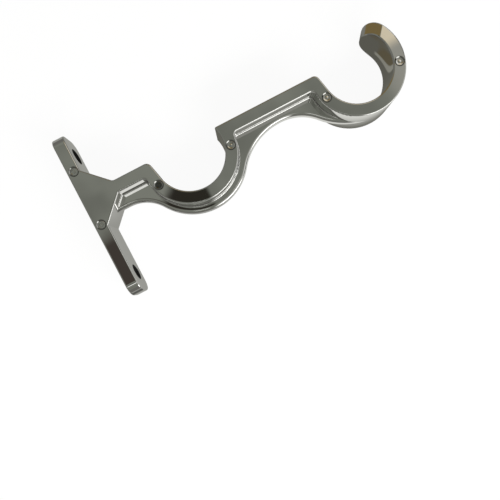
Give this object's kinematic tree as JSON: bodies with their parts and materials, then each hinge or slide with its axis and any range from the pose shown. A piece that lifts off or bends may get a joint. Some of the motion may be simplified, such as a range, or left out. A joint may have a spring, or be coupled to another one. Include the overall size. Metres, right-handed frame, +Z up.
{
  "type": "double curtain rod bracket",
  "caption": "Chrome wall bracket with an open cup and a hooked cup in line on one arm, holding two parallel curtain rods off a screwed plate.",
  "frame": {"origin": "on the flat back of the wall plate, midway between the two screw holes", "axes": "+X points out from the wall along the arm, +Z is up along the plate, and the rods lie along Y"},
  "size_m": [0.1467, 0.015, 0.073],
  "materials": {
    "plating": "bright chrome plate over a moulding, slightly wavy, with mould marks showing through"
  },
  "bodies": {
    "root": {"bracket": "plating"}
  },
  "joints": []
}
